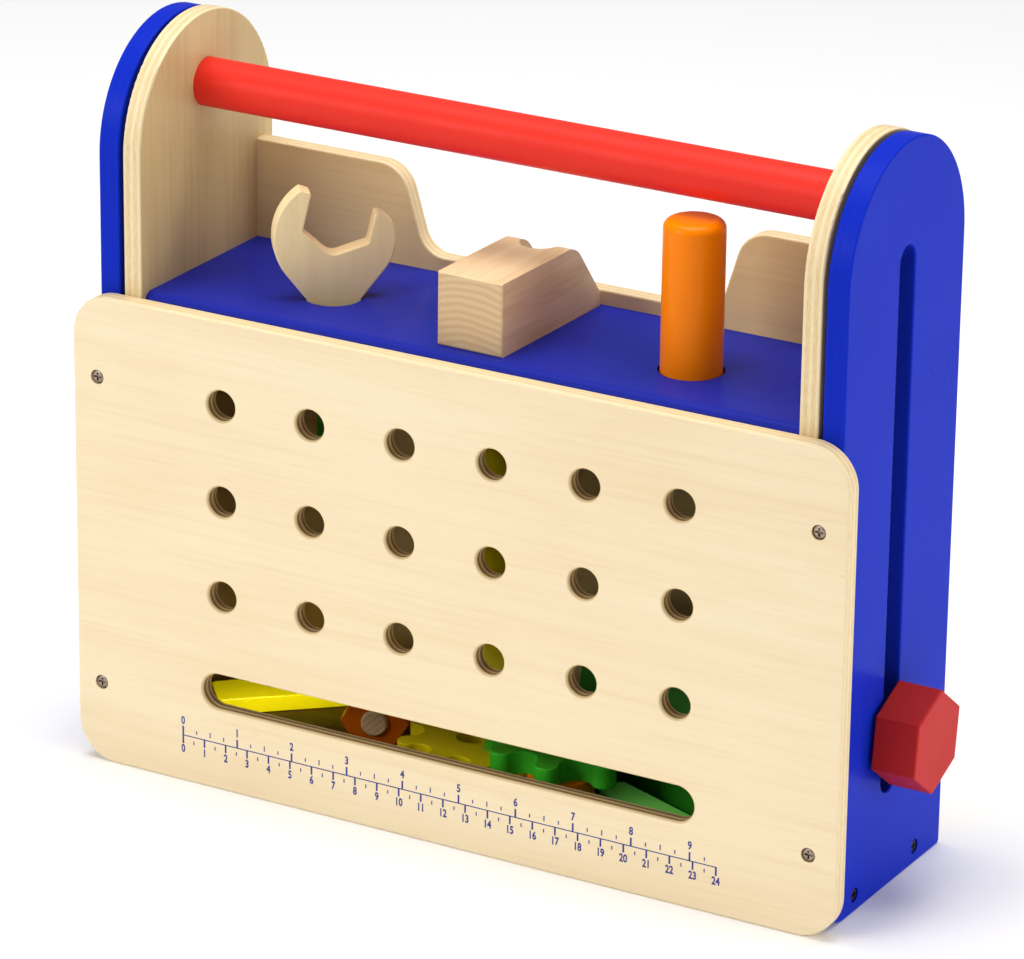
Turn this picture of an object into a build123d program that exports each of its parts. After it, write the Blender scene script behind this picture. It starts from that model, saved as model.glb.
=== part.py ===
from build123d import *
from math import cos, radians, sin
import os

# Toy workbench: a toolbox with a drilled bench front, slotted blue sides and
# a tool rack that slides up out of it. Millimetres, +Z up, bench front at -Y,
# origin on the floor under the middle of the box.

# bench front
PANEL_W = 341.0
PANEL_H = 198.0
PANEL_T = 7.0
PANEL_CORNER = 17.0
PANEL_X = -1.0
FRONT_Y = -52.0
PANEL_BACK_Y = FRONT_Y + PANEL_T
RIM_ROUND = 1.3
PEG_R = 6.3
PEG_MIDDLE_X = -1.9
PEG_PITCH_X = 40.4
PEG_PITCH_Z = 40.0
PEG_COLUMNS = 6
PEG_ROWS = 3
PEG_TOP_Z = 162.9
BIN_SLOT_X = -2.15
BIN_SLOT_Z = 42.0
BIN_SLOT_LENGTH = 220.5
BIN_SLOT_H = 14.8

# sides of the bench frame and of the rack
SIDE_IN = 153.6
SIDE_T = 9.0
SIDE_OUT = SIDE_IN + SIDE_T
END_IN = 143.8
END_T = 8.0
END_OUT = END_IN + END_T
ARCH_Y = 3.5
ARCH_Z = 253.0
ARCH_R = 48.5
END_Y = 3.7
END_Z = 253.8
END_R = 48.3
FLOOR_LOW_Z = 2.7
FLOOR_TOP_Z = 11.7
FRONT_FOOT_R = 14.0
SLOT_R = 6.3
SLOT_LOW_Z = 46.7
SLOT_HIGH_Z = 254.0
BOLT_Z = 65.4

# rack
BOARD_FRONT_Y = -42.0
BOARD_BACK_Y = 40.0
BOARD_TOP_Z = 199.2
BOARD_T = 12.0
BACK_T = 7.0
BACK_HIGH_Z = 240.4
BACK_LOW_Z = 205.4
BACK_CUT_HIGH_X = 76.2
BACK_CUT_LOW_X = 65.5
HANDLE_Z = 273.6
HANDLE_R = 9.8
HANDLE_SOCKET = 4.0

# tools
TOOL_HOLE_R = 13.0
WRENCH_X = -79.0
WRENCH_Y = -7.3
WRENCH_TURN = 39.0
WRENCH_T = 8.5
WRENCH_NECK = 21.2
WRENCH_NECK_DEPTH = 14.0
WRENCH_HOLE_R = 11.6
WRENCH_HANDLE_R = 6.4
WRENCH_HANDLE_LOW_Z = 112.0
WRENCH_TENON_R = 2.5
HAMMER_X = -1.25
HAMMER_Y = -7.0
HAMMER_TURN = -1.7
HAMMER_W = 29.0
HAMMER_H = 29.5
HAMMER_FRONT = -27.0
HAMMER_BACK = 45.9
HAMMER_NOTCH_R = 8.0
HAMMER_NOTCH = 23.9
HAMMER_HANDLE_R = 12.0
DRIVER_X = 79.2
DRIVER_Y = -7.2
DRIVER_R = 12.0
DRIVER_TOP_Z = 259.0
DRIVER_SEAT_R = 12.9
DRIVER_SEAT_DEPTH = 5.0
DRIVER_SHAFT_R = 5.5

# clamp knobs
KNOB_IN = 164.1
KNOB_L = 18.6
KNOB_R = 20.8
KNOB_TURN = -7.3
BOLT_R = 4.0
RUNNING_GAP = 0.05

# screws
SCREW_MIDDLE_X = -1.6
SCREW_X = 158.6
SCREW_ZS = (34.2, 164.2)
SCREW_HEAD_R = 2.85
SCREW_POCKET_R = 3.0
SCREW_SHANK_R = 1.6
BASE_SCREW_YS = (-22.3, 29.4)
BASE_SCREW_Z = 7.2
RACK_SCREWS = ((-24.0, 194.0), (20.0, 194.0), (44.0, 40.0), (44.0, 110.0), (44.0, 180.0))

# bin contents
PLY_T = 7.0
LAYER_Z = 19.7
PLATE_CORNER = (15.35, 30.0, FLOOR_TOP_Z + 1.0)
PLATE_YAW = -24.4
PLATE_LEAN = 8.0
NUT_FLAT = 12.0
NUT_T = 10.0
BOLT_DOWEL_R = 5.4
BOLT_HEAD_R = 14.2
BOLT_END = (-54.95, -15.6, FLOOR_TOP_Z + BOLT_HEAD_R)
BOLT_YAW = 22.0
GEAR_TEETH = 8
GEAR_HOLE_R = 6.3
YELLOW_GEAR_T = 8.0
YELLOW_GEAR_MIDDLE = (-13.3, -9.0)
UPPER_Z = LAYER_Z + YELLOW_GEAR_T
GREEN_GEAR_T = 9.2
GREEN_GEAR_MIDDLE = (28.6, -6.7)
GREEN_GEAR_FLAT = 22.4
DISC_R = 13.5

os.makedirs("parts", exist_ok=True)


def drill(plane, points, radius, depth):
    """Bore round holes from a plane, against its normal."""
    with BuildSketch(plane) as holes:
        with Locations(*points):
            Circle(radius)
    extrude(holes.sketch, amount=-depth, mode=Mode.SUBTRACT)


def soften(part, axis, position, radius):
    """Round the edges of the flat face that lies at a position on an axis."""
    faces = part.faces().filter_by(axis).sort_by(lambda f: abs(f.center().dot(axis.direction) - position))
    fillet(faces[0].edges(), radius)


def peg_points():
    """Centres of the peg holes as (x, z)."""
    columns = [PEG_MIDDLE_X + (column - (PEG_COLUMNS - 1) / 2) * PEG_PITCH_X for column in range(PEG_COLUMNS)]
    rows = [PEG_TOP_Z - row * PEG_PITCH_Z for row in range(PEG_ROWS)]
    return [(x, z) for x in columns for z in rows]


def panel_screw_points():
    """Centres of the four screws in the bench front as (x, z)."""
    return [(SCREW_MIDDLE_X + side * SCREW_X, z) for side in (-1, 1) for z in SCREW_ZS]


def build_front_panel():
    with BuildPart() as panel:
        with BuildSketch(Plane.XZ.offset(-PANEL_BACK_Y)):
            with Locations((PANEL_X, PANEL_H / 2)):
                RectangleRounded(PANEL_W, PANEL_H, PANEL_CORNER)
            with Locations(*peg_points()):
                Circle(PEG_R, mode=Mode.SUBTRACT)
            with Locations((BIN_SLOT_X, BIN_SLOT_Z)):
                SlotOverall(BIN_SLOT_LENGTH, BIN_SLOT_H, mode=Mode.SUBTRACT)
        extrude(amount=PANEL_T)
        soften(panel, Axis.Y, FRONT_Y, RIM_ROUND)
        soften(panel, Axis.Y, PANEL_BACK_Y, 0.7)
        drill(Plane.XZ.offset(-FRONT_Y), panel_screw_points(), SCREW_POCKET_R, 2.6)
        drill(Plane.XZ.offset(-FRONT_Y), panel_screw_points(), SCREW_SHANK_R + RUNNING_GAP, PANEL_T)
    return panel


def arch_sketch(plane, middle_y, middle_z, radius, low_z):
    """Outline of a side: a plank with a half-round top."""
    with BuildSketch(plane) as outline:
        with Locations((middle_y, low_z)):
            Rectangle(2 * radius, middle_z - low_z, align=(Align.CENTER, Align.MIN))
        with Locations((middle_y, middle_z)):
            Circle(radius)
    return outline.sketch


def side_plane(side, x):
    """Plane across the box at a distance from the middle, facing outwards."""
    return Plane(origin=(side * x, 0, 0), x_dir=(0, side, 0), z_dir=(side, 0, 0))


def mirrored(side, points):
    """Points given as (y, z), written in the plane of one side."""
    return [(side * y, z) for y, z in points]


def build_side_panel(side):
    with BuildPart() as panel:
        low_x = SIDE_IN if side > 0 else -SIDE_OUT
        extrude(arch_sketch(Plane.YZ.offset(low_x), ARCH_Y, ARCH_Z, ARCH_R, 0), amount=SIDE_T)
        front_foot, back_foot = panel.edges().filter_by(Axis.X).sort_by(Axis.Z)[:2].sort_by(Axis.Y)
        fillet(front_foot, FRONT_FOOT_R)
        fillet(back_foot, 2.0)
        outer = side_plane(side, SIDE_OUT)
        with BuildSketch(outer):
            with Locations((side * ARCH_Y, (SLOT_LOW_Z + SLOT_HIGH_Z) / 2)):
                SlotCenterToCenter(SLOT_HIGH_Z - SLOT_LOW_Z, 2 * SLOT_R, rotation=90)
        extrude(amount=-SIDE_T, mode=Mode.SUBTRACT)
        soften(panel, Axis.X, side * SIDE_OUT, 0.8)
        soften(panel, Axis.X, side * SIDE_IN, 0.8)
        drill(outer, mirrored(side, [(y, BASE_SCREW_Z) for y in BASE_SCREW_YS]), SCREW_POCKET_R, 2.6)
        base_screws = mirrored(side, [(y, BASE_SCREW_Z) for y in BASE_SCREW_YS])
        drill(outer, base_screws, SCREW_SHANK_R + RUNNING_GAP, SIDE_T)
        screws = [(x, z) for x, z in panel_screw_points() if x * side > 0]
        drill(Plane.XZ.offset(-PANEL_BACK_Y), screws, SCREW_SHANK_R + RUNNING_GAP, 20.0)
    return panel


def build_bottom_board():
    with BuildPart() as board:
        with Locations((0, PANEL_BACK_Y, FLOOR_LOW_Z)):
            Box(2 * SIDE_IN, 96.0, FLOOR_TOP_Z - FLOOR_LOW_Z, align=(Align.CENTER, Align.MIN, Align.MIN))
        fillet(board.edges().filter_by(Axis.X).group_by(Axis.Y)[-1], 1.0)
        for side in (-1, 1):
            points = mirrored(side, [(y, BASE_SCREW_Z) for y in BASE_SCREW_YS])
            drill(side_plane(side, SIDE_IN), points, SCREW_SHANK_R + RUNNING_GAP, 19.0)
    return board


def wood_screw(plane, length):
    """Round-head screw with a cross recess, head top just below the plane."""
    with BuildPart() as screw:
        with BuildSketch(Plane.XY.offset(-2.5)):
            Circle(SCREW_HEAD_R)
        extrude(amount=2.1)
        fillet(screw.edges().group_by(Axis.Z)[-1], 1.2)
        with BuildSketch(Plane.XY.offset(-0.4)):
            Rectangle(3.4, 0.8)
            Rectangle(0.8, 3.4)
        extrude(amount=-1.1, mode=Mode.SUBTRACT)
        with BuildSketch(Plane.XY.offset(-2.5)):
            Circle(SCREW_SHANK_R)
        extrude(amount=-(length - 4.0))
        with BuildSketch(Plane.XY.offset(1.5 - length)) as root:
            Circle(SCREW_SHANK_R)
        with BuildSketch(Plane.XY.offset(-length)):
            Circle(0.3)
        loft()
    return plane * screw.part


def build_panel_screws():
    plane = Plane(origin=(0, FRONT_Y, 0), x_dir=(1, 0, 0), z_dir=(0, -1, 0))
    return [plane * Pos(x, z, 0) * wood_screw(Plane.XY, 22.0) for x, z in panel_screw_points()]


def build_base_screws():
    return [
        side_plane(side, SIDE_OUT) * Pos(side * y, BASE_SCREW_Z, 0) * wood_screw(Plane.XY, 24.0)
        for side in (-1, 1) for y in BASE_SCREW_YS
    ]


def build_end_panel(side):
    with BuildPart() as panel:
        low_x = END_IN if side > 0 else -END_OUT
        extrude(arch_sketch(Plane.YZ.offset(low_x), END_Y, END_Z, END_R, FLOOR_TOP_Z), amount=END_T)
        soften(panel, Axis.X, side * END_OUT, 0.8)
        soften(panel, Axis.X, side * END_IN, 0.8)
        outer = side_plane(side, END_OUT)
        inner = side_plane(-side, -END_IN)
        drill(outer, mirrored(side, [(ARCH_Y, BOLT_Z)]), 6.0 + RUNNING_GAP, END_T)
        drill(inner, mirrored(-side, [(ARCH_Y, HANDLE_Z)]), HANDLE_R + RUNNING_GAP, HANDLE_SOCKET)
        screws = list(RACK_SCREWS) + [(ARCH_Y, HANDLE_Z)]
        drill(outer, mirrored(side, screws), SCREW_POCKET_R, 2.6)
        drill(outer, mirrored(side, screws), SCREW_SHANK_R + RUNNING_GAP, END_T)
    return panel


def build_tool_board():
    with BuildPart() as board:
        with Locations((0, BOARD_FRONT_Y, BOARD_TOP_Z)):
            Box(2 * END_IN, BOARD_BACK_Y - BOARD_FRONT_Y, BOARD_T, align=(Align.CENTER, Align.MIN, Align.MAX))
        front_edges = board.edges().filter_by(Axis.X).group_by(Axis.Y)[0].sort_by(Axis.Z)
        fillet(front_edges[-1], 4.0)
        fillet(front_edges[0], 1.0)
        top = Plane.XY.offset(BOARD_TOP_Z)
        drill(top, [(WRENCH_X, WRENCH_Y)], WRENCH_HOLE_R, BOARD_T)
        drill(top, [(HAMMER_X, HAMMER_Y)], TOOL_HOLE_R, BOARD_T)
        drill(top, [(DRIVER_X, DRIVER_Y)], DRIVER_SEAT_R, DRIVER_SEAT_DEPTH)
        drill(top, [(DRIVER_X, DRIVER_Y)], DRIVER_SHAFT_R + 1.0, BOARD_T)
        for side in (-1, 1):
            points = mirrored(side, [p for p in RACK_SCREWS if p[0] < BOARD_BACK_Y])
            drill(side_plane(side, END_IN), points, SCREW_SHANK_R + RUNNING_GAP, 20.0)
    return board


def build_back_panel():
    with BuildPart() as panel:
        with BuildSketch(Plane.XZ.offset(-BOARD_BACK_Y)) as outline:
            Polygon(
                (-END_IN, FLOOR_TOP_Z),
                (END_IN, FLOOR_TOP_Z),
                (END_IN, BACK_HIGH_Z),
                (BACK_CUT_HIGH_X, BACK_HIGH_Z),
                (BACK_CUT_LOW_X, BACK_LOW_Z),
                (-BACK_CUT_LOW_X, BACK_LOW_Z),
                (-BACK_CUT_HIGH_X, BACK_HIGH_Z),
                (-END_IN, BACK_HIGH_Z),
                align=None,
            )
            corners = outline.vertices()
            fillet(corners.filter_by(lambda v: abs(abs(v.X) - BACK_CUT_HIGH_X) < 0.1), 14.0)
            fillet(outline.vertices().filter_by(lambda v: abs(abs(v.X) - BACK_CUT_LOW_X) < 0.1), 12.0)
        extrude(amount=-BACK_T)
        rims = [e for e in panel.edges() if e.center().Z > BACK_LOW_Z - 1 and abs(e.tangent_at(0.5).Y) < 0.1
                and abs(e.center().X) < END_IN - 0.1]
        fillet(rims, 1.0)
        for side in (-1, 1):
            points = mirrored(side, [p for p in RACK_SCREWS if p[0] > BOARD_BACK_Y])
            drill(side_plane(side, END_IN), points, SCREW_SHANK_R + RUNNING_GAP, 20.0)
    return panel


def build_handle_bar():
    with BuildPart() as bar:
        with Locations((0, ARCH_Y, HANDLE_Z)):
            Cylinder(HANDLE_R, 2 * (END_IN + HANDLE_SOCKET), rotation=(0, 90, 0))
        chamfer(bar.edges().filter_by(GeomType.CIRCLE), 0.5)
        for side in (-1, 1):
            end = side_plane(side, END_IN + HANDLE_SOCKET)
            drill(end, mirrored(side, [(ARCH_Y, HANDLE_Z)]), SCREW_SHANK_R + RUNNING_GAP, 20.0)
    return bar


def build_rack_screws():
    return [
        side_plane(side, END_OUT) * Pos(side * y, z, 0) * wood_screw(Plane.XY, 22.0)
        for side in (-1, 1) for y, z in RACK_SCREWS
    ]


def build_handle_screws():
    return [
        side_plane(side, END_OUT) * Pos(side * ARCH_Y, HANDLE_Z, 0) * wood_screw(Plane.XY, 22.0)
        for side in (-1, 1)
    ]


def sleeve(side, start, length, outer_r, inner_r):
    """Ring round the clamp bolt, from a distance off the middle outwards."""
    with BuildPart() as ring:
        with BuildSketch(side_plane(side, start)):
            with Locations((side * ARCH_Y, BOLT_Z)):
                Circle(outer_r)
                Circle(inner_r, mode=Mode.SUBTRACT)
        extrude(amount=length)
    return ring.part


def build_threaded_inserts():
    return [sleeve(side, END_IN, END_T, 6.0, BOLT_R + RUNNING_GAP) for side in (-1, 1)]


def build_slot_bushings():
    return [sleeve(side, END_OUT, SIDE_OUT - END_OUT, 6.1, BOLT_R + 0.2) for side in (-1, 1)]


def build_knob_washer(side):
    return sleeve(side, SIDE_OUT + 0.1, KNOB_IN - SIDE_OUT - 0.15, 11.0, BOLT_R + RUNNING_GAP)


def build_knob(side):
    with BuildPart() as knob:
        with BuildSketch(side_plane(side, KNOB_IN)):
            with Locations((side * ARCH_Y, BOLT_Z)):
                RegularPolygon(KNOB_R, 6, rotation=90 + side * KNOB_TURN)
        extrude(amount=KNOB_L)
        fillet(knob.edges(), 0.8)
        drill(side_plane(-side, -KNOB_IN), mirrored(-side, [(ARCH_Y, BOLT_Z)]), BOLT_R, 12.0)
    return knob


def build_knob_bolt(side):
    with BuildPart() as bolt:
        with BuildSketch(side_plane(side, END_IN)):
            with Locations((side * ARCH_Y, BOLT_Z)):
                Circle(BOLT_R)
        extrude(amount=KNOB_IN + 12.0 - END_IN)
        ends = bolt.edges().filter_by(GeomType.CIRCLE)
        chamfer(ends, 0.6)
    return bolt


def hammer_plane():
    """Level plane on the board with +Y along the head, from poll to claw."""
    turn = radians(HAMMER_TURN)
    return Plane(origin=(HAMMER_X, HAMMER_Y, BOARD_TOP_Z), x_dir=(cos(turn), sin(turn), 0), z_dir=(0, 0, 1))


def build_hammer_head():
    level = hammer_plane()
    flank = Plane(origin=level.origin, x_dir=level.y_dir, z_dir=level.x_dir)
    claw_start = (21.0, HAMMER_H)
    claw_bend = (30.5, HAMMER_H - 4.6)
    claw_tip = (HAMMER_BACK - 0.2, 5.6)
    with BuildPart() as head:
        with BuildSketch(flank.offset(-HAMMER_W / 2)):
            with BuildLine():
                Polyline((HAMMER_BACK, 0), (HAMMER_FRONT, 0), (HAMMER_FRONT, HAMMER_H), claw_start)
                TangentArc(claw_start, claw_bend, tangent=(1, 0))
                Polyline(claw_bend, claw_tip, (HAMMER_BACK, 4.6), (HAMMER_BACK, 0))
            make_face()
        extrude(amount=HAMMER_W)
        with BuildSketch(level) as notch:
            with Locations((0, HAMMER_NOTCH)):
                Circle(HAMMER_NOTCH_R)
                Rectangle(2 * HAMMER_NOTCH_R, 40.0, align=(Align.CENTER, Align.MIN))
        extrude(notch.sketch, amount=HAMMER_H + 1.0, mode=Mode.SUBTRACT)
        poll = head.faces().sort_by(Axis.Y)[0]
        fillet(poll.edges(), 0.8)
        drill(Plane(origin=level.origin, x_dir=(1, 0, 0), z_dir=(0, 0, -1)), [(0, 0)],
              HAMMER_HANDLE_R + RUNNING_GAP, 20.0)
    return head


def build_hammer_handle():
    with BuildPart() as handle:
        with Locations((HAMMER_X, HAMMER_Y, 52.0)):
            Cylinder(HAMMER_HANDLE_R, BOARD_TOP_Z + 20.0 - 52.0,
                     align=(Align.CENTER, Align.CENTER, Align.MIN))
        fillet(handle.edges().group_by(Axis.Z)[0], 4.0)
    return handle


def wrench_outline():
    """Open jaw tilted to one side, round cheeks, and a neck that tapers in."""
    tilt = radians(12.6)
    half_neck = WRENCH_NECK / 2

    def jaw(across, up):
        return (-1.25 + across * cos(tilt) + up * sin(tilt), 18.1 - across * sin(tilt) + up * cos(tilt))

    seat = jaw(0, 0)
    left_corner = jaw(-13.15, 7.6)
    right_corner = jaw(13.15, 7.6)
    left_tip = jaw(-13.15, 23.5)
    right_tip = jaw(13.15, 20.3)
    with BuildSketch() as outline:
        with BuildLine():
            Polyline((-19.1, 11.1), (-half_neck, 0), (-half_neck, -WRENCH_NECK_DEPTH))
            Line((-half_neck, -WRENCH_NECK_DEPTH), (half_neck, -WRENCH_NECK_DEPTH))
            Polyline((half_neck, -WRENCH_NECK_DEPTH), (half_neck, 0), (19.3, 11.1))
            ThreePointArc((19.3, 11.1), (23.3, 18.5), (24.2, 24.5))
            ThreePointArc((24.2, 24.5), (21.5, 31.9), right_tip)
            Polyline(right_tip, right_corner, seat, left_corner, left_tip, (-13.2, 45.4))
            ThreePointArc((-13.2, 45.4), (-23.9, 25.5), (-19.1, 11.1))
        make_face()
        corners = outline.vertices()
        fillet(corners.sort_by_distance(seat)[0], 5.0)
        fillet(outline.vertices().sort_by_distance(left_corner)[0], 1.5)
        fillet(outline.vertices().sort_by_distance(right_corner)[0], 1.5)
        fillet(outline.vertices().sort_by_distance(left_tip)[0], 1.2)
        fillet(outline.vertices().sort_by_distance(right_tip)[0], 1.6)
    return outline.sketch


def build_wrench_head():
    turn = radians(WRENCH_TURN)
    normal = (sin(turn), -cos(turn), 0)
    blade = Plane(origin=(WRENCH_X, WRENCH_Y, BOARD_TOP_Z), x_dir=(cos(turn), sin(turn), 0), z_dir=normal)
    low_neck = BOARD_TOP_Z - WRENCH_NECK_DEPTH
    foot = Plane(origin=(WRENCH_X, WRENCH_Y, low_neck), x_dir=(1, 0, 0), z_dir=(0, 0, -1))
    with BuildPart() as wrench:
        extrude(blade.offset(-WRENCH_T / 2) * wrench_outline(), amount=WRENCH_T)
        flats = wrench.faces().sort_by(lambda f: f.area)[-2:]
        fillet(flats.edges(), 0.7)
        drill(foot, [(0, 0)], WRENCH_TENON_R + RUNNING_GAP, 12.5)
    return wrench


def build_wrench_handle():
    low_neck = BOARD_TOP_Z - WRENCH_NECK_DEPTH
    with BuildPart() as handle:
        with Locations((WRENCH_X, WRENCH_Y, WRENCH_HANDLE_LOW_Z)):
            Cylinder(WRENCH_HANDLE_R, low_neck - WRENCH_HANDLE_LOW_Z,
                     align=(Align.CENTER, Align.CENTER, Align.MIN))
        fillet(handle.edges().group_by(Axis.Z)[0], 3.0)
        with Locations((WRENCH_X, WRENCH_Y, low_neck)):
            Cylinder(WRENCH_TENON_R, 12.0, align=(Align.CENTER, Align.CENTER, Align.MIN))
    return handle


def build_driver_handle():
    low = BOARD_TOP_Z - DRIVER_SEAT_DEPTH
    with BuildPart() as handle:
        with Locations((DRIVER_X, DRIVER_Y, low)):
            Cylinder(DRIVER_R, DRIVER_TOP_Z - low, align=(Align.CENTER, Align.CENTER, Align.MIN))
        fillet(handle.edges().group_by(Axis.Z)[-1], 3.6)
        fillet(handle.edges().group_by(Axis.Z)[0], 0.8)
        drill(Plane(origin=(DRIVER_X, DRIVER_Y, low), x_dir=(1, 0, 0), z_dir=(0, 0, -1)), [(0, 0)],
              DRIVER_SHAFT_R + RUNNING_GAP, 22.0)
    return handle


def build_driver_shaft():
    tip = 152.0
    with BuildPart() as shaft:
        with Locations((DRIVER_X, DRIVER_Y, tip)):
            Cylinder(DRIVER_SHAFT_R, BOARD_TOP_Z - DRIVER_SEAT_DEPTH + 22.0 - tip,
                     align=(Align.CENTER, Align.CENTER, Align.MIN))
        with BuildSketch(Plane(origin=(DRIVER_X, DRIVER_Y, 0), x_dir=(1, 0, 0), z_dir=(0, -1, 0))):
            for side in (-1, 1):
                Polygon((side * 1.2, tip), (side * 6.0, tip), (side * 6.0, tip + 16.0),
                        (side * 4.5, tip + 16.0), align=None)
        extrude(amount=8.0, both=True, mode=Mode.SUBTRACT)
    return shaft


def build_yellow_strip():
    with BuildPart() as strip:
        with BuildSketch(Plane.XY):
            RectangleRounded(56.0, 20.0, 2.5)
        extrude(amount=PLY_T)
        soften(strip, Axis.Z, PLY_T, 0.6)
        soften(strip, Axis.Z, 0, 0.6)
    return strip.part.moved(Location((-115.75, 13.1, FLOOR_TOP_Z), (0, 0, 41.5)))


def bolt_plane():
    """Plane at the free end of the toy bolt, facing its head."""
    yaw = radians(BOLT_YAW)
    return Plane(origin=BOLT_END, x_dir=(cos(yaw), sin(yaw), 0), z_dir=(-sin(yaw), cos(yaw), 0))


def build_wooden_bolt():
    with BuildPart() as bolt:
        with BuildSketch(bolt_plane()):
            Circle(BOLT_DOWEL_R)
        extrude(amount=40.0)
        chamfer(bolt.edges().filter_by(GeomType.CIRCLE), 0.8)
        with BuildSketch(bolt_plane().offset(37.0)):
            Circle(BOLT_HEAD_R)
        extrude(amount=10.0)
        chamfer(bolt.edges().filter_by(lambda e: e.geom_type == GeomType.CIRCLE and e.radius > 14.0), 0.8)
    return bolt


def build_orange_nut():
    with BuildPart() as nut:
        with BuildSketch(bolt_plane().offset(2.0)):
            RegularPolygon(NUT_FLAT, 6, major_radius=False)
            Circle(BOLT_DOWEL_R + 0.08, mode=Mode.SUBTRACT)
        extrude(amount=NUT_T)
        flats = nut.faces().filter_by(lambda f: len(f.edges()) == 7)
        fillet([e for f in flats for e in f.outer_wire().edges()], 0.7)
    return nut


def gear_outline(middle, pitch_r, tooth_r, turn):
    """Round teeth on a circle, with round gaps that run into them, and a middle hole."""
    step = 360.0 / GEAR_TEETH
    gap_r = 2 * pitch_r * sin(radians(step / 4)) - tooth_r + 0.1
    with BuildSketch() as outline:
        with Locations(Location((*middle, 0), (0, 0, turn))):
            Circle(pitch_r)
            with PolarLocations(pitch_r, GEAR_TEETH):
                Circle(tooth_r)
            with PolarLocations(pitch_r, GEAR_TEETH, start_angle=step / 2):
                Circle(gap_r, mode=Mode.SUBTRACT)
            Circle(GEAR_HOLE_R, mode=Mode.SUBTRACT)
    return outline.sketch


def build_yellow_gear():
    with BuildPart() as wheel:
        outline = gear_outline(YELLOW_GEAR_MIDDLE, 25.6, 4.4, 37.8)
        extrude(outline.moved(Location((0, 0, LAYER_Z))), amount=YELLOW_GEAR_T)
        soften(wheel, Axis.Z, UPPER_Z, 0.4)
    return wheel


def build_green_gear():
    """A gear with one flat side, lying on the yellow gear and the disc."""
    with BuildPart() as wheel:
        outline = gear_outline(GREEN_GEAR_MIDDLE, 29.3, 4.8, 12.8)
        extrude(outline.moved(Location((0, 0, UPPER_Z))), amount=GREEN_GEAR_T)
        with Locations(Location((*GREEN_GEAR_MIDDLE, UPPER_Z), (0, 0, PLATE_YAW))):
            with Locations((0, GREEN_GEAR_FLAT, 0)):
                Box(100.0, 40.0, 40.0, align=(Align.CENTER, Align.MIN, Align.CENTER), mode=Mode.SUBTRACT)
        soften(wheel, Axis.Z, UPPER_Z + GREEN_GEAR_T, 0.4)
    return wheel


def build_orange_disc():
    with BuildPart() as disc:
        with Locations((33.0, -20.0, FLOOR_TOP_Z)):
            Cylinder(DISC_R, UPPER_Z - FLOOR_TOP_Z, align=(Align.CENTER, Align.CENTER, Align.MIN))
        fillet(disc.edges(), 1.0)
    return disc


def build_dowel_pegs():
    pegs = []
    for y in (-22.5, -1.5):
        with BuildPart() as peg:
            with Locations((-12.65, y, (FLOOR_TOP_Z + LAYER_Z) / 2)):
                Cylinder((LAYER_Z - FLOOR_TOP_Z) / 2, 42.0, rotation=(0, 90, 0))
            chamfer(peg.edges().filter_by(GeomType.CIRCLE), 0.6)
        pegs.append(peg.part)
    return pegs


def build_green_strip():
    with BuildPart() as strip:
        with BuildSketch(Plane.XY):
            RectangleRounded(60.0, 13.5, 2.0, align=(Align.MIN, Align.MIN))
        extrude(amount=PLY_T)
        soften(strip, Axis.Z, PLY_T, 0.6)
        soften(strip, Axis.Z, 0, 0.6)
    return strip.part.moved(Location((43.35, -10.0, FLOOR_TOP_Z), (0, 0, -21.5)))


def build_green_plate():
    with BuildPart() as plate:
        with BuildSketch(Plane.XY):
            RectangleRounded(94.0, 62.0, 4.0, align=(Align.MIN, Align.MIN))
        extrude(amount=PLY_T)
        soften(plate, Axis.Z, PLY_T, 0.6)
        soften(plate, Axis.Z, 0, 0.6)
    stand = Location(PLATE_CORNER, (0, 0, PLATE_YAW)) * Location((0, 0, 0), (90 - PLATE_LEAN, 0, 0))
    return plate.part.moved(stand)


def save(name, shape):
    """Write one sub-part, alone or as a group of like pieces."""
    if isinstance(shape, BuildPart):
        shape = shape.part
    if isinstance(shape, list):
        shape = Compound(children=shape)
    shape.label = name
    export_step(shape, "parts/" + name + ".step")


save("front_panel", build_front_panel())
save("side_panel_left", build_side_panel(-1))
save("side_panel_right", build_side_panel(1))
save("bottom_board", build_bottom_board())
save("panel_screws", build_panel_screws())
save("base_screws", build_base_screws())
save("end_panel_left", build_end_panel(-1))
save("end_panel_right", build_end_panel(1))
save("tool_board", build_tool_board())
save("back_panel", build_back_panel())
save("handle_bar", build_handle_bar())
save("rack_screws", build_rack_screws())
save("handle_screws", build_handle_screws())
save("threaded_inserts", build_threaded_inserts())
save("slot_bushings", build_slot_bushings())
save("knob_left", build_knob(-1))
save("knob_right", build_knob(1))
save("knob_bolt_left", build_knob_bolt(-1))
save("knob_bolt_right", build_knob_bolt(1))
save("knob_washer_left", build_knob_washer(-1))
save("knob_washer_right", build_knob_washer(1))
save("hammer_head", build_hammer_head())
save("hammer_handle", build_hammer_handle())
save("wrench_head", build_wrench_head())
save("wrench_handle", build_wrench_handle())
save("screwdriver_handle", build_driver_handle())
save("screwdriver_shaft", build_driver_shaft())
save("yellow_strip", build_yellow_strip())
save("wooden_bolt", build_wooden_bolt())
save("orange_nut", build_orange_nut())
save("yellow_gear", build_yellow_gear())
save("green_gear", build_green_gear())
save("orange_disc", build_orange_disc())
save("dowel_pegs", build_dowel_pegs())
save("green_strip", build_green_strip())
save("green_plate", build_green_plate())
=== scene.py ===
import math

import bmesh
import bpy
from mathutils import Matrix, Vector


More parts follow.
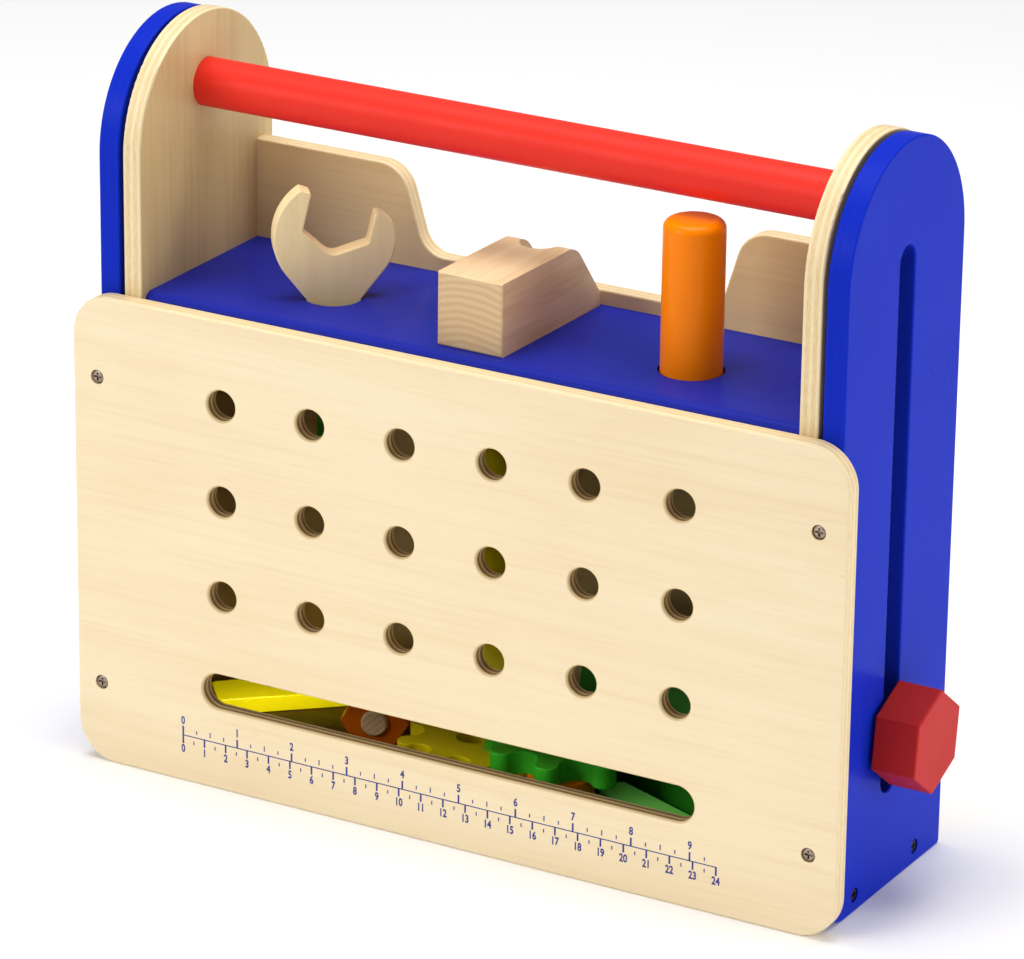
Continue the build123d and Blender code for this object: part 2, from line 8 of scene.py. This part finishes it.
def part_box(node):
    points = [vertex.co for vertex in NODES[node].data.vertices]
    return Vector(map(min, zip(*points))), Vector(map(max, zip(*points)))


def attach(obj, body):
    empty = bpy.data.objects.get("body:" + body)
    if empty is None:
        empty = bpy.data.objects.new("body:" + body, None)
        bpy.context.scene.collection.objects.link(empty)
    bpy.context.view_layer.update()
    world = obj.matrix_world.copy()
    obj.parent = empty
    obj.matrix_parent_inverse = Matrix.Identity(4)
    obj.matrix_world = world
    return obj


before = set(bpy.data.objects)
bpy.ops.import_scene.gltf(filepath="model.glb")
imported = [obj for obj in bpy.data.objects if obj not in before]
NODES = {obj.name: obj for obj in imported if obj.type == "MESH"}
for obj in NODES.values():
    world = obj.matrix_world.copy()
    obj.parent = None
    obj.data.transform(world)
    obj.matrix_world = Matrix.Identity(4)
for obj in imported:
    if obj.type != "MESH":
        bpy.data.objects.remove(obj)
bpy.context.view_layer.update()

# camera, as the photograph was taken
AZIMUTH = math.radians(29.579)
ELEVATION = math.radians(21.070)
ROLL = math.radians(0.721)
DISTANCE = 2.1241
AIM = Vector((0.02752, -0.0520, 0.15897))
LENS = 197.94

# printed ruler, metres from the middle of the bench front
RULER_ZERO_X = -0.12155
RULER_Z = 0.0199
CENTIMETRES = 24
INCHES = 9
CENTIMETRE = 0.01
INCH = 0.0254
INK_DEPTH = 0.00002
THIN_INK = 0.00050
THICK_INK = 0.00078
BASE_LINE_INK = 0.00044
DIGIT_HEIGHT = 0.0033
DIGIT_WIDTH = 0.76
DIGIT_BOLD = 0.048
CAP_HEIGHT = 0.72  # height of a capital, as a share of the font size

# how far the ruler's marks and numbers reach from the base line
END_MARK_DOWN = 0.0036
FIRST_MARK_UP = 0.0040
LAST_MARK_UP = 0.0002
CENTIMETRE_MARK_DOWN = 0.0034
HALF_CENTIMETRE_FROM = 0.0018
INCH_MARK_UP = 0.0036
QUARTER_FROM = 0.0014
HALF_INCH_UP = 0.0037
QUARTER_UP = 0.0030
CENTIMETRE_NUMBER_DOWN = 0.0059
INCH_NUMBER_UP = 0.0062

AXES = {"x": 0, "y": 1, "z": 2}

# loose parts that the lights inside the bin reach
LIT_PARTS = ("yellow_strip", "green_strip")

# strips of light inside the bin: name, place along the bench, length, watts
BIN_STRIPS = (
    ("bin_left", -0.090, 0.05, 0.050),
    ("bin_right", 0.066, 0.08, 0.015),
)
STRIP_WIDTH = 0.008
STRIP_YZ = (-0.038, 0.050)
STRIP_AIM_YZ = (0.020, 0.020)

# softboxes: name, place, size, watts
SOFTBOXES = (
    ("key", (-1.15, -1.9, 1.15), (1.2, 0.8), 21.5),
    ("fill", (2.35, 0.25, 0.50), (1.4, 0.9), 21),
    ("top", (-0.1, 0.1, 2.3), (1.8, 1.4), 48),
)
SOFTBOX_AIM = (0, 0, 0.12)
SKY_STRENGTH = 0.27
FLOOR_GLOW = 0.07

# how strongly each finish mirrors the light
PAINT_SHEEN = 0.03
LACQUER_SHEEN = 0.30


def srgb(r, g, b):
    """Linear colour, with alpha, from 0 to 255 display values."""
    def one(v):
        v = v / 255
        return v / 12.92 if v <= 0.04045 else ((v + 0.055) / 1.055) ** 2.4
    return (one(r), one(g), one(b), 1.0)


def dimmed(colour, factor):
    """The same colour with its light scaled by a factor."""
    return tuple(c * factor for c in colour[:3]) + (1.0,)


# ---------------------------------------------------------------- materials

class Surface:
    """A material with a Principled shader and short ways to add nodes to it."""

    def __init__(self, name, **shader):
        self.material = bpy.data.materials.new(name)
        self.material.use_nodes = True
        self.tree = self.material.node_tree
        self.shader = self.tree.nodes["Principled BSDF"]
        for key, value in shader.items():
            self.shader.inputs[key.replace("_", " ")].default_value = value
        self.coord = self.tree.nodes.new("ShaderNodeTexCoord")
        place = self.add("SeparateXYZ", {"Vector": self.coord.outputs["Object"]})
        facing = self.add("SeparateXYZ", {"Vector": self.coord.outputs["Normal"]})
        self.place = list(place.outputs)
        self.facing = list(facing.outputs)

    def add(self, kind, inputs=None, **settings):
        node = self.tree.nodes.new("ShaderNode" + kind)
        for key, value in settings.items():
            setattr(node, key, value)
        for key, value in (inputs or {}).items():
            if isinstance(value, bpy.types.NodeSocket):
                self.tree.links.new(value, node.inputs[key])
            else:
                node.inputs[key].default_value = value
        return node

    def calc(self, operation, *values, clamp=False):
        inputs = {i: v for i, v in enumerate(values)}
        return self.add("Math", inputs, operation=operation, use_clamp=clamp).outputs[0]

    def ramp(self, value, low, high):
        """0 below low, 1 above high, smooth between."""
        inputs = {"Value": value, "From Min": low, "From Max": high}
        node = self.add("MapRange", inputs, interpolation_type="SMOOTHSTEP", clamp=True)
        return node.outputs["Result"]

    def mix(self, factor, a, b, blend="MIX"):
        node = self.add("Mix", {}, data_type="RGBA", blend_type=blend, clamp_factor=True)
        sockets = [s for s in node.inputs if s.enabled]
        for socket, value in zip(sockets, (factor, a, b)):
            if isinstance(value, bpy.types.NodeSocket):
                self.tree.links.new(value, socket)
            else:
                socket.default_value = value
        return [s for s in node.outputs if s.enabled][0]

    def noise(self, scale, stretch=(1, 1, 1), detail=3.0, roughness=0.55, distortion=0.0, offset=0.0):
        moved = self.add("Mapping", {
            "Vector": self.coord.outputs["Object"],
            "Location": (offset, offset * 1.7, offset * 0.6),
            "Scale": stretch,
        })
        inputs = {"Vector": moved.outputs[0], "Scale": scale, "Detail": detail, "Roughness": roughness,
                  "Distortion": distortion}
        return self.add("TexNoise", inputs, noise_dimensions="3D").outputs["Fac"]

    def colour(self, socket):
        self.tree.links.new(socket, self.shader.inputs["Base Color"])

    def rough(self, socket):
        self.tree.links.new(socket, self.shader.inputs["Roughness"])

    def bump(self, height, distance, strength=1.0):
        """Raise the surface by a height field, on top of earlier bumps."""
        inputs = {"Height": height, "Distance": distance, "Strength": strength}
        earlier = self.shader.inputs["Normal"]
        if earlier.is_linked:
            inputs["Normal"] = earlier.links[0].from_socket
        node = self.add("Bump", inputs)
        self.tree.links.new(node.outputs[0], earlier)


def along(axis, far, near):
    """Stretch that makes long streaks along one axis."""
    return tuple(far if i == AXES[axis] else near for i in range(3))


def face_grain(s, grain, light, dark, offset):
    """Veneer colour: soft broad figure, fine lines and short pores along the grain."""
    broad = s.noise(1.0, along(grain, 5, 55), 4.0, 0.55, 0.6, offset)
    lines = s.noise(1.0, along(grain, 14, 520), 3.0, 0.6, 0.2, offset + 3)
    pores = s.noise(1.0, along(grain, 110, 1900), 2.0, 0.5, 0.0, offset + 7)
    blotch = s.noise(9.0, (1, 1, 1), 2.0, 0.5, 0.0, offset + 11)
    amount = s.calc("MULTIPLY", s.ramp(lines, 0.42, 0.72), 0.30)
    amount = s.calc("MULTIPLY_ADD", s.ramp(broad, 0.34, 0.70), 0.38, amount)
    amount = s.calc("MULTIPLY_ADD", s.ramp(blotch, 0.4, 0.75), 0.22, amount, clamp=True)
    veneer = s.mix(amount, light, dark)
    pore_mask = s.calc("MULTIPLY", s.ramp(pores, 0.66, 0.78), 0.35)
    return s.mix(pore_mask, veneer, dimmed(dark, 0.72)), lines, pores


def ply_mask(s, axis):
    """1 where the surface faces along the sheet's thickness, 0 on its edges."""
    return s.ramp(s.calc("ABSOLUTE", s.facing[AXES[axis]]), 0.80, 0.97)


def ply_layers(s, axis, start, thickness, plies):
    """(0 or 1 for the ply the point is in, glue line mask) through the sheet."""
    depth = s.calc("DIVIDE", s.calc("SUBTRACT", s.place[AXES[axis]], start), thickness)
    wander = s.noise(30.0, (1, 1, 1), 2.0)
    depth = s.calc("MULTIPLY_ADD", s.calc("SUBTRACT", wander, 0.5), 0.02, depth)
    scaled = s.calc("MULTIPLY", depth, float(plies))
    which = s.calc("MODULO", s.calc("FLOOR", s.calc("ADD", scaled, 10.0)), 2.0)
    apart = s.calc("PINGPONG", scaled, 0.5)
    glue = s.calc("SUBTRACT", 1.0, s.ramp(apart, 0.02, 0.10))
    return which, glue


def inside_outline(s, box, margin=0.012):
    """1 on the walls of holes cut through an upright sheet, 0 on its outer edges."""
    middle_x = (box[0].x + box[1].x) / 2
    middle_z = (box[0].z + box[1].z) / 2
    reach_x = (box[1].x - box[0].x) / 2 - margin
    reach_z = (box[1].z - box[0].z) / 2 - margin
    out_x = s.ramp(s.calc("ABSOLUTE", s.calc("SUBTRACT", s.place[0], middle_x)), reach_x, reach_x + 0.002)
    out_z = s.ramp(s.calc("ABSOLUTE", s.calc("SUBTRACT", s.place[2], middle_z)), reach_z, reach_z + 0.002)
    return s.calc("SUBTRACT", 1.0, s.calc("MAXIMUM", out_x, out_z))


def natural_ply(name, axis, box, grain, plies=5, light=(246, 228, 192), dark=(236, 211, 168), offset=0.0,
                bored=False):
    """Clear-lacquered plywood: veneer faces, plies and glue lines at the edges."""
    s = Surface(name, Roughness=0.42, Specular_IOR_Level=LACQUER_SHEEN)
    lo, hi = box[0][AXES[axis]], box[1][AXES[axis]]
    veneer, lines, pores = face_grain(s, grain, srgb(*light), srgb(*dark), offset)
    which, glue = ply_layers(s, axis, lo, hi - lo, plies)
    fibres = s.noise(1.0, tuple(1500 if i == AXES[axis] else 260 for i in range(3)), 3.0, 0.6, 0.0, offset)
    long_ply = s.mix(s.ramp(fibres, 0.35, 0.7), srgb(240, 220, 178), srgb(234, 211, 166))
    end_ply = s.mix(s.ramp(fibres, 0.35, 0.65), srgb(233, 208, 160), srgb(224, 195, 144))
    layers = s.mix(which, long_ply, end_ply)
    layers = s.mix(s.calc("MULTIPLY", glue, 0.16), layers, srgb(184, 146, 98))
    if bored:
        bare = s.mix(which, srgb(226, 200, 152), srgb(158, 124, 78))
        layers = s.mix(inside_outline(s, box), layers, bare)
    s.colour(s.mix(ply_mask(s, axis), layers, veneer))
    s.rough(s.calc("MULTIPLY_ADD", lines, 0.16, 0.34))
    s.bump(lines, 0.00006, 0.5)
    s.bump(pores, 0.00003, 0.4)
    return s.material


def painted_ply(name, axis, box, grain, colour, deep, plies=5, offset=0.0, gloss=0.17):
    """Satin paint on plywood: the plies and the grain telegraph faintly through."""
    s = Surface(name, Roughness=gloss, Specular_IOR_Level=PAINT_SHEEN)
    lo, hi = box[0][AXES[axis]], box[1][AXES[axis]]
    which, glue = ply_layers(s, axis, lo, hi - lo, plies)
    grain_lines = s.noise(1.0, along(grain, 18, 420), 3.0, 0.6, 0.2, offset)
    clouds = s.noise(14.0, (1, 1, 1), 3.0, 0.55, 0.0, offset + 5)
    fibres = s.noise(1.0, tuple(900 if i == AXES[axis] else 160 for i in range(3)), 3.0, 0.6, 0.0, offset)
    face = ply_mask(s, axis)
    edge = s.calc("SUBTRACT", 1.0, face)
    tone = s.calc("MULTIPLY", s.ramp(grain_lines, 0.45, 0.75), 0.12)
    tone = s.calc("MULTIPLY_ADD", s.ramp(clouds, 0.3, 0.75), 0.28, tone)
    tone = s.calc("MULTIPLY_ADD", s.calc("MULTIPLY", edge, which), 0.14, tone)
    tone = s.calc("MULTIPLY_ADD", s.calc("MULTIPLY", edge, glue), 0.10, tone, clamp=True)
    s.colour(s.mix(tone, srgb(*colour), srgb(*deep)))
    dull = s.calc("MULTIPLY_ADD", s.calc("MULTIPLY", edge, fibres), 0.22, gloss)
    s.rough(s.calc("MULTIPLY_ADD", s.ramp(clouds, 0.2, 0.8), 0.12, dull))
    s.bump(grain_lines, 0.00005, 0.45)
    s.bump(s.calc("MULTIPLY", edge, fibres), 0.00012, 0.6)
    s.bump(s.noise(700.0, (1, 1, 1), 2.0), 0.00002, 0.5)
    return s.material


def painted_round(name, colour, deep, grain="x", gloss=0.32, sheen=0.3, offset=0.0):
    """Gloss paint on turned or shaped solid wood."""
    s = Surface(name, Roughness=gloss, Specular_IOR_Level=sheen)
    streaks = s.noise(1.0, along(grain, 10, 340), 4.0, 0.6, 0.3, offset)
    clouds = s.noise(38.0, (1, 1, 1), 3.0, 0.55, 0.0, offset + 2)
    tone = s.calc("MULTIPLY", s.ramp(streaks, 0.45, 0.75), 0.22)
    tone = s.calc("MULTIPLY_ADD", s.ramp(clouds, 0.35, 0.75), 0.22, tone)
    s.colour(s.mix(tone, srgb(*colour), srgb(*deep)))
    s.rough(s.calc("MULTIPLY_ADD", clouds, 0.16, gloss - 0.06))
    s.bump(streaks, 0.00006, 0.5)
    s.bump(s.noise(420.0, (1, 1, 1), 2.0), 0.000025, 0.5)
    return s.material


def solid_wood(name, grain, light, dark, offset=0.0, pore_size=1.0, end_grain_tone_and_shade=1.0):
    """Lacquered solid hardwood: long figure on the sides, curved rings on the end grain."""
    s = Surface(name, Roughness=0.45, Specular_IOR_Level=LACQUER_SHEEN)
    end = s.ramp(s.calc("ABSOLUTE", s.facing[AXES[grain]]), 0.7, 0.95)
    figure = s.noise(1.0, along(grain, 9, 120), 4.0, 0.6, 1.2, offset)
    lines = s.noise(1.0, along(grain, 30, 900 / pore_size), 3.0, 0.6, 0.1, offset + 4)
    dashes = s.noise(1.0, along(grain, 160, 2600 / pore_size), 2.0, 0.5, 0.0, offset + 9)
    bend = s.calc("MULTIPLY", s.calc("MULTIPLY", s.place[0], s.place[0]), 9.0)
    bend = s.calc("MULTIPLY_ADD", s.noise(60.0, (1, 1, 1), 2.0, 0.5, 0.0, offset + 6), 0.004, bend)
    phase = s.calc("MULTIPLY", s.calc("ADD", s.place[2], bend), 2100.0)
    rings = s.calc("MULTIPLY_ADD", s.calc("SINE", phase), 0.5, 0.5)
    dots = s.noise(1500.0 / pore_size, (1, 1, 1), 2.0, 0.5, 0.0, offset + 8)
    light, dark = srgb(*light), srgb(*dark)
    amount = s.calc("MULTIPLY", s.ramp(lines, 0.4, 0.75), 0.38)
    amount = s.calc("MULTIPLY_ADD", s.ramp(figure, 0.32, 0.72), 0.62, amount)
    side = s.mix(amount, light, dark)
    side = s.mix(s.calc("MULTIPLY", s.ramp(dashes, 0.62, 0.80), 0.16), side, dimmed(dark, 0.55))
    cut = s.mix(s.calc("MULTIPLY", rings, 0.6), light, dark)
    cut = s.mix(s.calc("MULTIPLY", s.ramp(dots, 0.58, 0.76), 0.18), cut, dimmed(dark, 0.5))
    # end grain darkened by a factor: the wood's own end-grain tone, plus painted shade where a caller sets
    # it below 1
    cut = s.mix(1.0, cut, (end_grain_tone_and_shade, end_grain_tone_and_shade * 0.97, end_grain_tone_and_shade * 0.94, 1.0), "MULTIPLY")
    s.colour(s.mix(end, side, cut))
    s.rough(s.calc("MULTIPLY_ADD", lines, 0.18, 0.38))
    s.bump(dashes, 0.00006, 0.5)
    s.bump(s.calc("MULTIPLY", dots, end), 0.00008, 0.5)
    return s.material


def metal(name, colour, rough, offset=0.0):
    """Zinc, steel or brass: a mottled plating with a fine rough skin."""
    s = Surface(name, Metallic=1.0, Roughness=rough)
    mottle = s.noise(420.0, (1, 1, 1), 4.0, 0.6, 0.0, offset)
    bright = srgb(*colour)
    s.colour(s.mix(s.ramp(mottle, 0.3, 0.75), bright, dimmed(bright, 0.62)))
    s.rough(s.calc("MULTIPLY_ADD", mottle, 0.25, rough - 0.1))
    s.bump(s.noise(2600.0, (1, 1, 1), 2.0), 0.00002, 0.5)
    return s.material


def nylon(name):
    s = Surface(name, Roughness=0.5)
    mottle = s.noise(260.0, (1, 1, 1), 3.0)
    s.colour(s.mix(mottle, srgb(226, 224, 216), srgb(206, 203, 194)))
    s.rough(s.calc("MULTIPLY_ADD", mottle, 0.2, 0.4))
    s.bump(mottle, 0.00003, 0.5)
    return s.material


def ink(name):
    """Screen-printed ink, a little thin and uneven over the veneer."""
    s = Surface(name, Roughness=0.5)
    uneven = s.noise(900.0, (1, 1, 1), 3.0, 0.6)
    s.colour(s.mix(s.ramp(uneven, 0.42, 0.72), srgb(30, 36, 128), srgb(52, 58, 142)))
    s.rough(s.calc("MULTIPLY_ADD", uneven, 0.2, 0.42))
    s.bump(uneven, 0.00001, 0.4)
    return s.material


def give(node, material):
    """Make a material the only one of a CAD node."""
    mesh = NODES[node].data
    mesh.materials.clear()
    mesh.materials.append(material)


def dress_frame():
    blue, deep_blue = (20, 46, 188), (14, 36, 168)
    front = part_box("front_panel")
    give("front_panel", natural_ply("bench_front_ply", "y", front, "x", offset=1.0, bored=True))
    for side in ("left", "right"):
        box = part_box("side_panel_" + side)
        paint = painted_ply("blue_side_" + side, "x", box, "z", blue, deep_blue, offset=2.0)
        give("side_panel_" + side, paint)
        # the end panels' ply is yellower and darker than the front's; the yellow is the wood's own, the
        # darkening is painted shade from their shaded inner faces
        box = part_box("end_panel_" + side)
        give("end_panel_" + side, natural_ply("end_ply_with_shade_" + side, "x", box, "z", offset=4.0,
                                              light=(218, 192, 138), dark=(196, 164, 110)))
    # painted shade: the bottom board's dark brown stands in for the shade on the floor inside the bin
    give("bottom_board", natural_ply("bottom_ply_painted_shade", "z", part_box("bottom_board"), "x", offset=6.0,
                                     light=(110, 74, 40), dark=(84, 54, 28)))
    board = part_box("tool_board")
    give("tool_board", painted_ply("blue_board", "z", board, "x", (36, 46, 158), (28, 36, 142), offset=8.0))
    give("back_panel", natural_ply("back_ply", "y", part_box("back_panel"), "x", offset=9.0,
                                   light=(238, 212, 154), dark=(222, 190, 128)))


def dress_pieces():
    red = painted_round("red_paint", (236, 50, 36), (224, 40, 28), "x", 0.42, 0.16, offset=1.0)
    # the knobs get a darker copy of the red paint; the darkening is painted shade on their facets
    knob_shaded_red = painted_round("knob_red_painted_shade", (192, 34, 30), (178, 24, 24), "x", 0.5, 0.2, offset=3.0)
    orange = painted_round("orange_paint", (255, 134, 0), (248, 118, 0), "z", 0.22, 0.12, offset=5.0)
    yellow = painted_round("yellow_paint", (244, 224, 6), (228, 200, 4), "x", offset=7.0)
    green = painted_round("green_paint", (44, 138, 30), (26, 110, 22), "x", offset=9.0)
    steel = metal("zinc_steel", (196, 192, 186), 0.34)
    dowel = solid_wood("dowel_wood", "y", (226, 196, 156), (198, 160, 116), offset=2.0)
    give("handle_bar", red)
    give("knob_left", knob_shaded_red)
    give("knob_right", knob_shaded_red)
    give("screwdriver_handle", orange)
    # the nut gets a darker copy of the orange paint; the darkening is painted shade from the bin
    give("orange_nut", painted_round("nut_orange_painted_shade", (214, 104, 14), (196, 90, 8), "z", 0.3, 0.12, offset=6.0))
    give("orange_disc", orange)
    for node in ("yellow_strip", "yellow_gear", "hammer_handle"):
        give(node, yellow)
    for node in ("green_plate", "wrench_handle"):
        give(node, green)
    # the gear's paint is a brighter green than the plate's; the extra brightness is painted light, as the
    # bin lights do not reach it
    give("green_gear", painted_round("gear_green_painted_light", (66, 196, 44), (46, 170, 32), "x", offset=12.0))
    # the strip's paint is a lighter green than the plate's; the lightness is painted light from the long
    # slot
    give("green_strip", painted_round("strip_green_painted_light", (104, 184, 78), (84, 164, 60), "x", offset=11.0))
    give("base_screws", metal("dark_steel", (64, 62, 60), 0.4, 2.0))
    give("panel_screws", metal("worn_steel", (172, 156, 142), 0.42, 3.0))
    for node in ("rack_screws", "handle_screws", "knob_bolt_left",
                 "knob_bolt_right", "knob_washer_left", "knob_washer_right"):
        give(node, steel)
    give("threaded_inserts", metal("insert_brass", (206, 170, 96), 0.3, 4.0))
    give("slot_bushings", nylon("bushing_nylon"))
    for node in ("wooden_bolt", "dowel_pegs", "screwdriver_shaft"):
        give(node, dowel)
    # on the hammer the end grain is darkened to 0.80: partly the end grain's own tone, partly painted shade
    # on the head's front and back faces
    give("hammer_head", solid_wood("hammer_wood", "y", (244, 214, 168), (222, 182, 134),
                                   offset=5.0, end_grain_tone_and_shade=0.80))
    give("wrench_head", solid_wood("wrench_wood", "z", (248, 224, 174), (240, 211, 158),
                                   offset=7.0, pore_size=0.4))


# ---------------------------------------------------------------- printed ruler

def ink_text(text, x, z, height):
    """Mesh of one printed number, centred on a point of the bench front."""
    curve = bpy.data.curves.new("number", "FONT")
    curve.body = text
    curve.size = height / CAP_HEIGHT
    curve.align_x = "CENTER"
    curve.align_y = "CENTER"
    curve.offset = height * DIGIT_BOLD
    curve.extrude = INK_DEPTH
    curve.resolution_u = 4
    holder = bpy.data.objects.new("number", curve)
    mesh = bpy.data.meshes.new_from_object(holder)
    bpy.data.objects.remove(holder)
    narrow = Matrix.Diagonal((DIGIT_WIDTH, 1, 1, 1))
    stand = Matrix.Rotation(math.radians(90), 4, "X")
    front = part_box("front_panel")[0].y
    mesh.transform(Matrix.Translation((x, front, z)) @ stand @ narrow)
    return mesh


def ink_bar(build, x, z_low, z_high, width):
    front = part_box("front_panel")[0].y
    lo = Vector((x - width / 2, front - INK_DEPTH, z_low))
    hi = Vector((x + width / 2, front + INK_DEPTH, z_high))
    place = Matrix.Translation((lo + hi) / 2) @ Matrix.Diagonal((*(hi - lo), 1))
    bmesh.ops.create_cube(build, size=1.0, matrix=place)


def print_lines(build, end_x):
    """The base line, the centimetre marks below it and the inch marks above it."""
    middle = (RULER_ZERO_X + end_x) / 2
    half_line = BASE_LINE_INK / 2
    ink_bar(build, middle, RULER_Z - half_line, RULER_Z + half_line, end_x - RULER_ZERO_X)
    ink_bar(build, RULER_ZERO_X, RULER_Z - END_MARK_DOWN, RULER_Z + FIRST_MARK_UP, THICK_INK)
    ink_bar(build, end_x, RULER_Z - END_MARK_DOWN, RULER_Z + LAST_MARK_UP, THICK_INK)
    for mark in range(1, CENTIMETRES):
        x = RULER_ZERO_X + mark * CENTIMETRE
        ink_bar(build, x, RULER_Z - CENTIMETRE_MARK_DOWN, RULER_Z, THICK_INK)
    for mark in range(CENTIMETRES):
        x = RULER_ZERO_X + (mark + 0.5) * CENTIMETRE
        ink_bar(build, x, RULER_Z - CENTIMETRE_MARK_DOWN, RULER_Z - HALF_CENTIMETRE_FROM, THIN_INK)
    for mark in range(1, INCHES + 1):
        ink_bar(build, RULER_ZERO_X + mark * INCH, RULER_Z, RULER_Z + INCH_MARK_UP, THICK_INK)
    for quarter in range(1, INCHES * 4 + 2):
        x = RULER_ZERO_X + quarter * INCH / 4
        if quarter % 4 and x < end_x:
            tall = HALF_INCH_UP if quarter % 2 == 0 else QUARTER_UP
            ink_bar(build, x, RULER_Z + QUARTER_FROM, RULER_Z + tall, THIN_INK)


def print_numbers(build):
    for mark in range(CENTIMETRES + 1):
        x = RULER_ZERO_X + mark * CENTIMETRE
        build.from_mesh(ink_text(str(mark), x, RULER_Z - CENTIMETRE_NUMBER_DOWN, DIGIT_HEIGHT))
    for mark in range(INCHES + 1):
        x = RULER_ZERO_X + mark * INCH
        build.from_mesh(ink_text(str(mark), x, RULER_Z + INCH_NUMBER_UP, DIGIT_HEIGHT))


def print_ruler():
    build = bmesh.new()
    print_lines(build, RULER_ZERO_X + CENTIMETRES * CENTIMETRE)
    print_numbers(build)
    mesh = bpy.data.meshes.new("ruler_print")
    build.to_mesh(mesh)
    build.free()
    mesh.materials.append(ink("ruler_ink"))
    piece = bpy.data.objects.new("ruler_print", mesh)
    bpy.context.scene.collection.objects.link(piece)
    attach(piece, "bench_frame")


# ---------------------------------------------------------------- studio

def make_camera():
    back = Vector((math.sin(AZIMUTH) * math.cos(ELEVATION), -math.cos(AZIMUTH) * math.cos(ELEVATION),
                   math.sin(ELEVATION)))
    right = Vector((math.cos(AZIMUTH), math.sin(AZIMUTH), 0))
    up = back.cross(right)
    turned_right = right * math.cos(ROLL) + up * math.sin(ROLL)
    turned_up = up * math.cos(ROLL) - right * math.sin(ROLL)
    axes = Matrix((turned_right, turned_up, back)).transposed()
    data = bpy.data.cameras.new("camera")
    data.lens = LENS
    data.sensor_width = 36.0
    camera = bpy.data.objects.new("camera", data)
    camera.matrix_world = Matrix.Translation(AIM + back * DISTANCE) @ axes.to_4x4()
    bpy.context.scene.collection.objects.link(camera)
    bpy.context.scene.camera = camera


def area_light(name, place, aim, size, power):
    data = bpy.data.lights.new(name, "AREA")
    data.shape = "RECTANGLE"
    data.size, data.size_y = size
    data.energy = power
    light = bpy.data.objects.new(name, data)
    light.location = place
    light.rotation_mode = "QUATERNION"
    light.rotation_quaternion = (Vector(aim) - Vector(place)).to_track_quat("-Z", "Y")
    bpy.context.scene.collection.objects.link(light)
    return light


def light_the_bin():
    """Two small strips of light on the two loose strips that show through the long slot."""
    lit = bpy.data.collections.new("loose_parts")
    for node in LIT_PARTS:
        lit.objects.link(NODES[node])
    for name, x, length, power in BIN_STRIPS:
        light = area_light(name, (x, *STRIP_YZ), (x, *STRIP_AIM_YZ), (length, STRIP_WIDTH), power)
        light.light_linking.receiver_collection = lit


def make_studio():
    mesh = bpy.data.meshes.new("floor")
    half = 6.0
    corners = [(-half, -half, 0), (half, -half, 0), (half, half, 0), (-half, half, 0)]
    mesh.from_pydata(corners, [], [(0, 1, 2, 3)])
    floor = bpy.data.objects.new("floor", mesh)
    bpy.context.scene.collection.objects.link(floor)
    white = (1.0, 1.0, 1.0, 1.0)
    s = Surface("pale_floor", Roughness=0.7, Emission_Color=white, Emission_Strength=FLOOR_GLOW)
    s.colour(s.mix(s.noise(3.0), (0.93, 0.93, 0.93, 1), (0.95, 0.95, 0.95, 1)))
    mesh.materials.append(s.material)
    world = bpy.data.worlds.new("studio")
    world.use_nodes = True
    world.node_tree.nodes["Background"].inputs["Color"].default_value = (1, 1, 1, 1)
    world.node_tree.nodes["Background"].inputs["Strength"].default_value = SKY_STRENGTH
    bpy.context.scene.world = world
    for name, place, size, power in SOFTBOXES:
        area_light(name, place, SOFTBOX_AIM, size, power)
    light_the_bin()
    bpy.context.scene.view_settings.view_transform = "Standard"


dress_frame()
dress_pieces()
print_ruler()
make_camera()
make_studio()
